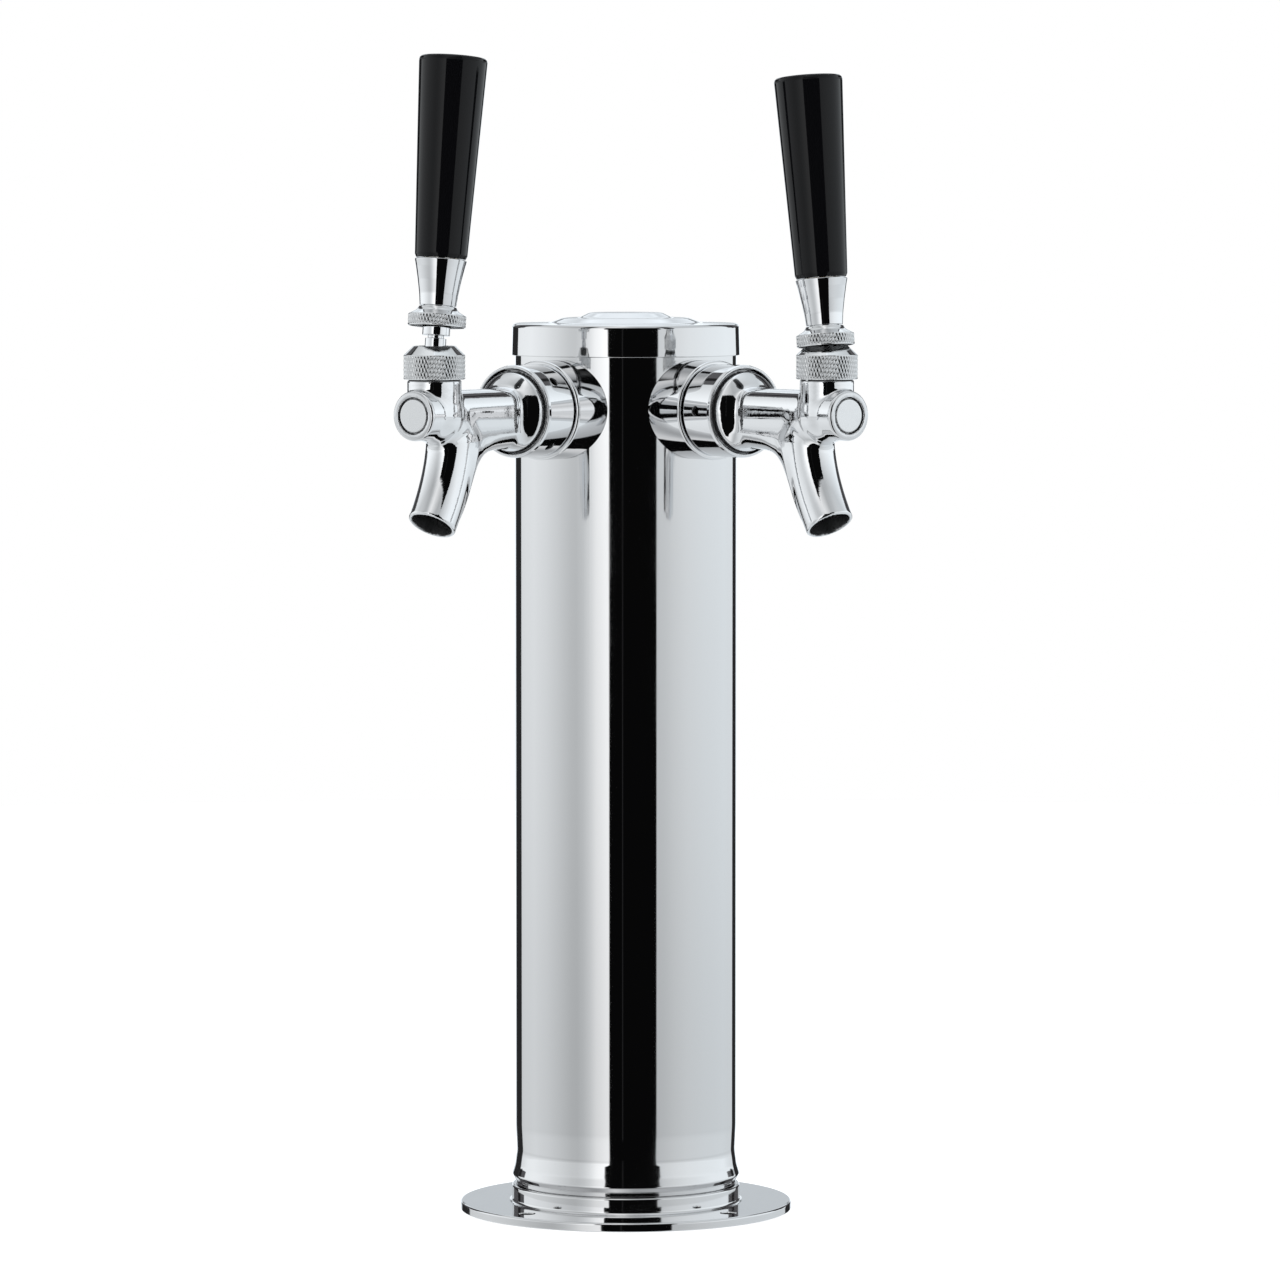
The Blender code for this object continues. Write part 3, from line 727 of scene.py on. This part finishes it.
nut = {
    "radius": 15.6, "back": 51.7, "front": 66.2, "bore": 14.5, "backBore": 11.6, "backWall": 54.0,
    "holes": 4, "holeAt": 58.5, "holeRadius": 1.6,
    "firstHole": {"left": 49.6, "right": 0.7},  # degrees from the top
}


def makeNut(side):
    radius, place = nut["radius"], lyingPlace(side)
    outline = rounded([
        (nut["bore"], 57.0), (nut["bore"], nut["front"], 0.25), (radius - 0.3, nut["front"], 0.5),
        (radius, nut["front"] - 1.2, 0.6), (radius, nut["back"], 0.6), (nut["backBore"], nut["back"], 0.2),
        (nut["backBore"], nut["backWall"], 0.1), (nut["bore"], nut["backWall"], 0.2),
    ])
    ring = meshOf(f"coupling_nut_{side}", revolve(outline, 320, True), place)
    drills = []
    for i in range(nut["holes"]):
        turn = math.radians(nut["firstHole"][side] + 360 / nut["holes"] * i)
        x, y = place[:3, 0] * math.cos(turn) + place[:3, 1] * math.sin(turn), place[:3, 2]
        middle = place[:3, 3] + y * nut["holeAt"]
        drill = rounded([
            (0.0, radius + 1.0), (nut["holeRadius"] + 1.2, radius + 1.0), (nut["holeRadius"] + 0.3, radius + 0.02),
            (nut["holeRadius"], radius - 0.3), (nut["holeRadius"], 13.0), (0.0, 13.0),
        ])
        drills.append(meshOf("drill", revolve(drill, 40, False), placeOf(middle, y, np.cross(x, y), x)))
    # the drilled holes' walls get the dark copy of the chrome: painted shade in the holes
    mesh = cutBy(ring.name, ring, drills, ("turnedChrome", "holeShadeChrome"))
    addPiece(f"spanner_nut_{side}", mesh, None, "tower", "fitting_chrome", f"coupling_nut_{side}")


faucet = {
    "back": 59.6, "collarRadius": 14.2, "collarFront": 64.9,
    "domeMiddle": 58.2, "domeLength": 15.2, "domeWide": 16.5, "domeRim": 13.3, "domeFillet": 1.5, "barrel": 8.0,
    "noseFront": 121.3, "nose": 8.33, "noseEdge": 1.0, "plugHole": 6.1,
    "neck": 9.0, "shoulder": 11.5, "thread": 8.4, "threadTop": 18.2,
    "spout": 8.1, "spoutBore": 6.95,
    "spoutRoot": (100.6, -1.0), "spoutBend": (99.0, -18.0), "spoutTip": (111.1, -36.5),
    # the web between barrel and spout: its lower edge is level, turns down at webTurn and then falls
    "webLow": -11.6, "webTurn": 88.5, "webEase": 5.0, "webFall": 1.7,
    "webHalfWidth": 7.4, "webRound": 7.0, "webFillet": 3.0,
    # hollows: radius, start and end; the first along the faucet, the others along the lever's axis
    "bores": [(6.9, 50.0, 66.4), (4.4, 60.0, 75.0), (5.6, 69.0, 110.8), (4.0, 100.0, 130.0)],
    "wells": [(7.2, pivotRise - 5.9, 30.0), (5.2, 4.0, 30.0), (7.0, 3.0, pivotRise - 6.9)],
    "plugSeat": 119.8,
    "box": ((58.0, -15.4, -42.5), (122.5, 15.4, 19.4)), "grid": 0.5,
}


def joined(a, b, k):
    # smooth union of two distances, with a fillet of about k
    h = np.maximum(k - np.abs(a - b), 0) / k
    return np.minimum(a, b) - h * h * k / 4


def without(a, b, k=0.35):
    return -joined(-a, b, k)


def rodAlong(radial, along, radius, low, high, edge):
    # distance to a cylinder of that radius between two places, its edges rounded
    side = radial - radius + edge
    end = np.abs(along - (low + high) / 2) - (high - low) / 2 + edge
    outside = np.hypot(np.maximum(side, 0), np.maximum(end, 0))
    return outside + np.minimum(np.maximum(side, end), 0) - edge


def spoutPlace(t):
    # the spout's centre line is a quadratic Bezier curve; this gives its points, slopes and bend
    a, b, c = (np.array(faucet[k])[:, None] for k in ("spoutRoot", "spoutBend", "spoutTip"))
    points = (1 - t) ** 2 * a + 2 * t * (1 - t) * b + t * t * c
    return points, 2 * (1 - t) * (b - a) + 2 * t * (c - b), 2 * (a - 2 * b + c)


def awayFromSpout(x, y, z):
    # nearest of a few places on the curve, then Newton steps to where the way back is square to it
    best, t = np.full(x.shape, 1e9), np.zeros(x.shape)
    for guess in np.linspace(0, 1.1, 12):
        (px, pz), _, _ = spoutPlace(np.array([guess]))
        away = (x - px) ** 2 + (z - pz) ** 2
        t = np.where(away < best, guess, t)
        best = np.minimum(away, best)
    for _ in range(4):
        (px, pz), (sx, sz), (bx, bz) = spoutPlace(t)
        square = (x - px) * sx + (z - pz) * sz
        change = (x - px) * bx + (z - pz) * bz - sx * sx - sz * sz
        t = np.clip(t - square / np.minimum(change, -50.0), 0, 1.25)
    (px, pz), _, _ = spoutPlace(t)
    return np.sqrt((x - px) ** 2 + (z - pz) ** 2 + y * y)


def bodyField(points):
    # signed distance, below zero in the metal, of the whole casting in the faucet's own millimetres
    x, y, z = points.T
    radial = np.hypot(y, z)
    # dome: the end of an ellipsoid, its distance estimated from how fast its own measure grows
    wide = np.hypot((x - faucet["domeMiddle"]) / faucet["domeLength"], radial / faucet["domeWide"])
    steep = np.hypot((x - faucet["domeMiddle"]) / faucet["domeLength"] ** 2, radial / faucet["domeWide"] ** 2)
    dome = wide * (wide - 1) / np.maximum(steep, 1e-6)
    dome = -joined(-dome, faucet["domeRim"] - radial, 0.6)
    dome = np.maximum(dome, faucet["back"] + 2 - x)
    threaded = rodAlong(radial, x, faucet["collarRadius"], faucet["back"], faucet["collarFront"], 0.4)
    flatter = (np.abs(y) ** 2.6 + np.abs(z) ** 2.6) ** (1 / 2.6)
    barrel = rodAlong(flatter, x, faucet["barrel"], 62.0, 107.0, 0.5)
    nose = rodAlong(radial, x, faucet["nose"], 109.0, faucet["noseFront"], faucet["noseEdge"])
    fromPivot = np.hypot(x - pivotReach, y)
    neck = rodAlong(fromPivot, z, faucet["neck"], -1.0, faucet["shoulder"], 0.4)
    thread = rodAlong(fromPivot, z, faucet["thread"], 4.0, faucet["threadTop"], 0.3)
    knee = np.sqrt((x - pivotReach) ** 2 + y * y + (z + 0.5) ** 2) - 9.0

    # spout: a tube round its centre line, thinner where it is buried in the barrel
    away = awayFromSpout(x, y, z)
    tip, bend = np.array(faucet["spoutTip"]), np.array(faucet["spoutBend"])
    ahead = (tip - bend) / np.linalg.norm(tip - bend)
    past = (x - tip[0]) * ahead[0] + (z - tip[1]) * ahead[1]
    buried = np.clip((z + 9.0) / 9.0, 0, 1)
    tube = without(away - faucet["spout"] + 2.2 * buried, -past, 0.7)

    # web: a plate with a round edge under the barrel, back as far as the dome
    along = x - faucet["webTurn"]
    bent = np.hypot(along, faucet["webEase"])
    edge = faucet["webLow"] - faucet["webFall"] * (bent + along) / 2 - z
    edge = edge / np.hypot(1, faucet["webFall"] * (along / bent + 1) / 2)
    flat = np.maximum(edge, np.maximum(z + 2.0, np.abs(x - 83.0) - 19.0))
    ease = faucet["webRound"]
    across, inward = np.abs(y) - faucet["webHalfWidth"] + ease, flat + ease
    web = np.hypot(np.maximum(across, 0), np.maximum(inward, 0)) + np.minimum(np.maximum(across, inward), 0) - ease

    metal = joined(np.minimum(dome, threaded), barrel, faucet["domeFillet"])
    metal = joined(metal, web, faucet["webFillet"])
    metal = joined(metal, knee, 2.0)
    metal = joined(metal, neck, 1.2)
    metal = joined(metal, nose, 1.0)
    metal = joined(metal, tube, 3.0)
    metal = np.minimum(metal, thread)

    # hollows
    for hollow in faucet["bores"]:
        metal = without(metal, rodAlong(radial, x, *hollow, 0.2))
    metal = without(metal, rodAlong(radial, x, faucet["plugHole"], faucet["plugSeat"], 130.0, 0.1), 0.2)
    for hollow in faucet["wells"]:
        metal = without(metal, rodAlong(fromPivot, z, *hollow, 0.2))
    bore = np.maximum(away - faucet["spoutBore"], z + 3.5)
    beyond = np.hypot(y, (x - tip[0]) * ahead[1] - (z - tip[1]) * ahead[0])
    return without(metal, np.minimum(bore, np.maximum(beyond - faucet["spoutBore"], -past)), 0.3)


def nearAndFar(axis):
    # what picks the first and the second end of every grid edge along an axis
    near, far = [slice(None)] * 3, [slice(None)] * 3
    near[axis], far[axis] = slice(0, -1), slice(1, None)
    return tuple(near), tuple(far)


def netOf(field, low, high, step):
    # surface net: one point in each cell that the surface crosses, at the mean of its edge crossings,
    # and one quad round each grid edge that changes sign
    counts = np.ceil((high - low) / step).astype(int) + 1
    axes = [low[a] + step * np.arange(counts[a]) for a in range(3)]
    gridPoints = np.stack(np.meshgrid(*axes, indexing="ij"), axis=-1).reshape(-1, 3)
    values = np.concatenate([field(part) for part in np.array_split(gridPoints, 24)]).reshape(counts)
    inside = values < 0
    cells = tuple(counts - 1)
    total, crossings = np.zeros(cells + (3,)), np.zeros(cells)
    for axis in range(3):
        near, far = nearAndFar(axis)
        a, b = values[near], values[far]
        crossed = inside[near] != inside[far]
        share = np.where(crossed, a / np.where(a == b, 1, a - b), 0)
        others = [o for o in range(3) if o != axis]
        for i in (0, 1):
            for j in (0, 1):
                part = [slice(None)] * 3
                part[others[0]] = slice(i, i + cells[others[0]])
                part[others[1]] = slice(j, j + cells[others[1]])
                hit = crossed[tuple(part)]
                crossings += hit
                total[..., axis] += share[tuple(part)] * hit
                total[..., others[0]] += i * hit
                total[..., others[1]] += j * hit
    used = crossings > 0
    number = np.full(cells, -1)
    number[used] = np.arange(used.sum())
    corner = np.stack(np.nonzero(used), axis=-1)
    points = low + step * (corner + total[used] / crossings[used][:, None])
    quads = []
    for axis in range(3):
        near, far = nearAndFar(axis)
        u, v = (axis + 1) % 3, (axis + 2) % 3
        where = np.stack(np.nonzero(inside[near] != inside[far]), axis=-1)
        keep = (where[:, u] > 0) & (where[:, v] > 0) & (where[:, u] < cells[u]) & (where[:, v] < cells[v])
        where = where[keep]
        ring = []
        for du, dv in ((1, 1), (0, 1), (0, 0), (1, 0)):
            cell = where.copy()
            cell[:, u] -= du
            cell[:, v] -= dv
            ring.append(number[tuple(cell.T)])
        ring = np.stack(ring, axis=-1)
        flip = ~inside[tuple(where.T)]
        ring[flip] = ring[flip][:, ::-1]
        quads.append(ring)
    return points, np.concatenate(quads)


def settled(points, field, rounds, longest):
    # each point slides down the field's slope onto the surface
    nudge = 0.02
    for _ in range(rounds):
        value = field(points)
        slope = np.stack([
            (field(points + nudge * step) - field(points - nudge * step)) / (2 * nudge) for step in np.eye(3)
        ], axis=-1)
        move = value[:, None] * slope / np.maximum((slope ** 2).sum(axis=1, keepdims=True), 0.05)
        length = np.linalg.norm(move, axis=1, keepdims=True)
        points = points - move * np.minimum(1, longest / np.maximum(length, 1e-9))
    return points


# how dark and rough the casting's material is made: its nose face a little darker and rougher, and painted shade
# inside the spout's bore and in the grooves round its plug and behind its dome
casting = {"noseFaceDarker": 0.22, "grooveShade": 1.0, "plugGroove": 6.3, "boreEase": 0.3}


def makeBodies():
    low, high = (np.array(corner) for corner in faucet["box"])
    points, quads = netOf(bodyField, low, high, faucet["grid"])
    points = settled(points, bodyField, 3, 0.6 * faucet["grid"])
    x, y, z = points.T
    radial, front, groove = np.hypot(y, z), faucet["noseFront"], casting["grooveShade"]
    # painted shade inside the spout's bore, in the groove round the plug and in the groove behind the dome; the nose
    # face is only made a little darker and rougher
    inBore = (faucet["spoutBore"] + casting["boreEase"] - awayFromSpout(x, y, z)) / casting["boreEase"]
    mask = np.clip(np.where(z < -5, inBore, 0), 0, 1)
    mask = np.where(x > front - 0.3, casting["noseFaceDarker"], mask)
    byPlug = (x > faucet["plugSeat"] - 0.3) & (x < front - 0.1) & (radial < casting["plugGroove"])
    mask = np.where(byPlug, groove, mask)
    mask = np.where((x < faucet["collarFront"] + 1.4) & (radial > faucet["domeRim"] - 0.1), groove, mask)
    print("faucet casting:", len(quads), "quads")
    for side in ("left", "right"):
        mesh = meshOf(f"faucet_body_{side}", (points, quads, mask), faucetPlace[side], 60.0)
        addPiece(f"casting_{side}", mesh, "castChrome", "tower", "faucet_chrome", f"faucet_body_{side}")


plug = {"radius": 5.5, "front": 121.1, "back": 120.1}


def makePlug(side):
    radius, front, back = (plug[k] for k in ("radius", "front", "back"))
    outline = rounded([(0.0, front), (radius, front, 0.35), (radius, back, 0.1), (0.0, back)])
    mesh = meshOf(f"nose_plug_{side}", revolve(outline, 128, False), lyingPlace(side))
    addPiece(f"plug_{side}", mesh, "satinPlug", "tower", "faucet_chrome", f"nose_plug_{side}")


knurl = {
    "pitchRound": 1.16, "pitchAlong": 1.45, "depth": 0.30,
    "round": 10, "along": 15,  # facets to each tooth
    "fade": 0.35, "knurlGrooveShade": 0.45, "shade": 2.6,  # how dark the grooves are made as painted shade, and how far up the hidden inside is darkened with painted shade
}


def knurled(low, high, radius):
    # crossed spiral grooves between two heights leave rows of small pyramids
    teeth = int(round(2 * math.pi * radius / knurl["pitchRound"]))

    def shape(r, turn, along):
        u = turn * teeth / (2 * math.pi)
        v = (along - low) / knurl["pitchAlong"]
        first, second = (np.abs(2 * ((u + s * v) % 1) - 1) for s in (0.5, -0.5))
        groove = np.maximum(1 - first * 1.15, 0.8 - second * 1.1)
        fade = np.clip(np.minimum(along - low, high - along) / knurl["fade"], 0, 1)
        onKnurl = (r > radius - 0.02) & (along > low) & (along < high)
        groove = np.where(onKnurl, np.clip(groove, 0, 1) * fade, 0)
        # painted shade: the hidden inside near the foot is made fully dark, and each groove darker by its depth
        underneath = (r < radius - 0.6) & (along < low + knurl["shade"])
        return r - knurl["depth"] * groove, along, np.where(underneath, 1.0, knurl["knurlGrooveShade"] * groove)

    rows = np.linspace(high, low, int((high - low) / knurl["pitchAlong"] * knurl["along"]))
    return [(radius, z) for z in rows], teeth * knurl["round"], shape


bonnet = {
    "radius": 10.2, "low": -5.8, "high": 2.6, "top": 5.6, "mouth": 6.3, "rim": 6.95,
    "throat": 5.05, "bore": 8.75, "shelf": 2.8,
}


def makeBonnet(side):
    rows, steps, shape = knurled(bonnet["low"] + 0.5, bonnet["high"] - 0.1, bonnet["radius"])
    radius, foot, bore, shelf = bonnet["radius"], bonnet["low"] + 0.3, bonnet["bore"], bonnet["shelf"]
    corners = [(bonnet["throat"], shelf), (bonnet["mouth"], bonnet["top"], 0.1), (bonnet["rim"], bonnet["top"], 0.25)]
    corners += [(radius - 0.12, bonnet["high"] + 0.05, 0.15)] + rows
    corners += [(radius - 0.25, foot, 0.1), (bore, foot, 0.1), (bore, shelf)]
    mesh = meshOf(f"bonnet_{side}", revolve(rounded(corners), steps, True, shape), pivotPlace[side], 75.0)
    addPiece(f"bonnet_ring_{side}", mesh, "knurledChrome", "tower", "knurl_chrome", f"bonnet_{side}")


leverStem = {
    "top": 44.0, "stud": 4.62, "groove": 2.7, "neck": 3.55, "ball": 5.2, "arm": 1.25, "armLength": 17.5, "tip": 2.0,
}


def makeLever(side):
    ball, arm, length, tip = (leverStem[k] for k in ("ball", "arm", "armLength", "tip"))
    turns = np.radians(np.linspace(46, -70, 30))
    globe = [(ball * math.cos(a), ball * math.sin(a)) for a in turns]
    turns = np.radians(np.linspace(50, -88, 16))
    end = [(tip * math.cos(a), -length + tip * math.sin(a)) for a in turns]
    top, stud, groove, neck = (leverStem[k] for k in ("top", "stud", "groove", "neck"))
    corners = [(0.0, top), (stud, top, 0.7), (stud, 9.0, 0.25)]
    corners += [(groove, 8.9, 0.1), (groove, 8.1, 0.1), (neck, 8.0, 0.1), (neck, 4.4, 0.3)]
    corners += globe + [(arm, -5.8, 0.5), (arm, -14.0)] + end + [(0.0, -length - tip)]
    mesh = meshOf(f"lever_{side}", revolve(rounded(corners), 96, False), leverPlace[side])
    addPiece(f"stem_{side}", mesh, "turnedChrome", f"lever_{side}", "fitting_chrome", f"lever_{side}")


handle = {
    "foot": {"left": 12.1, "right": 5.6},  # how far up its stem each handle is screwed
    "collarRadius": 9.63, "knurlTop": 3.7, "collarLength": 6.4, "gap": 0.3,
    "lip": 0.15, "recess": 9.12, "recessHigh": 2.2,  # room over the bonnet when the lever is forward
    "ferruleLength": 15.4, "gripLength": 66.8, "thread": 4.95, "insert": 6.5, "insertLength": 24.0,
}


def makeHandle(side):
    foot, place, body = handle["foot"][side], leverPlace[side], f"lever_{side}"
    radius, thread, recess, insert = (handle[k] for k in ("collarRadius", "thread", "recess", "insert"))
    lip, roof = foot - handle["lip"], foot + handle["recessHigh"]
    shoulder, top = foot + handle["knurlTop"], foot + handle["collarLength"]
    rows, steps, shape = knurled(lip + 0.3, shoulder - 0.1, radius)
    corners = [(thread, top), (6.3, top, 0.15), (6.9, top - 1.2, 2.0), (radius - 0.12, shoulder + 0.05, 0.15)]
    corners += rows + [(radius - 0.25, lip, 0.1), (recess, lip, 0.1), (recess, roof, 0.3), (thread, roof)]
    mesh = meshOf(f"lever_collar_{side}", revolve(rounded(corners), steps, True, shape), place, 75.0)
    addPiece(f"thumb_collar_{side}", mesh, "knurledChrome", body, "knurl_chrome", f"lever_collar_{side}")

    low = top + handle["gap"]
    high = low + handle["ferruleLength"]
    outline = rounded([
        (thread, low + 5.0), (thread, low, 0.2), (6.1, low, 0.2), (6.5, low + 4.0, 12.0), (7.25, low + 8.5, 16.0),
        (8.1, high - 2.6, 12.0), (8.7, high, 0.3), (thread, high, 0.2), (thread, high - 5.0),
    ])[::-1]
    mesh = meshOf(f"handle_ferrule_{side}", revolve(outline, 160, True), place)
    addPiece(f"ferrule_{side}", mesh, "turnedChrome", body, "ferrule_chrome", f"handle_ferrule_{side}")

    low = high + handle["gap"]
    high = low + handle["gripLength"]
    outline = rounded([
        (0.0, high), (10.6, high, 0.5), (11.2, high - 0.5, 0.3), (11.4, high - 1.3, 0.1), (11.28, high - 1.45, 0.1),
        (11.36, high - 1.6, 0.1), (8.75, low + 1.2, 0.8), (8.2, low, 0.35),
        (insert, low, 0.1), (insert, low + handle["insertLength"], 0.2), (0.0, low + handle["insertLength"]),
    ])
    mesh = meshOf(f"handle_grip_{side}", revolve(outline, 192, False), place)
    addPiece(f"grip_{side}", mesh, "blackPlastic", body, "handle_black", f"handle_grip_{side}")


# everything that stays as the frame has it

slotFinish = {
    "tube_steel": "tubeSteel", "flange_steel": "turnedSteel", "cap_steel": "turnedSteel",
    "collar_steel": "turnedChrome", "faucet_chrome": "castChrome", "fitting_chrome": "turnedChrome",
    "knurl_chrome": "knurledChrome", "ferrule_chrome": "turnedChrome", "fitting_brass": "brass",
    "handle_black": "blackPlastic", "seal_rubber": "blackRubber", "gasket_rubber": "blackRubber",
    "sleeve_foam": "darkFoam", "washer_nylon": "whiteNylon",
}


def finishFrame():
    slots = {part["node"]: part["material_slot"] for part in frame["record"]["subparts"]}
    for name, node in frame["nodes"].items():
        node.data.materials.clear()
        node.data.materials.append(materials[slotFinish[slots[name]]])


makeCamera()
makeWorld()
makeFloor()
makeLights()
smudges = smudgeGroup()
materials = {name: metalMaterial(name, smudges) for name in metals}
materials.update({name: plainMaterial(name) for name in plains})
finishFrame()
print("camera, surroundings and materials done")
makeColumn()
makeBase()
makeCap()
print("column, base and cap done")
makeBodies()
for side in ("left", "right"):
    makeCollar(side)
    makeNut(side)
    makePlug(side)
    makeBonnet(side)
    makeLever(side)
    makeHandle(side)
    print(side, "faucet done")
scene.view_settings.view_transform = "Standard"
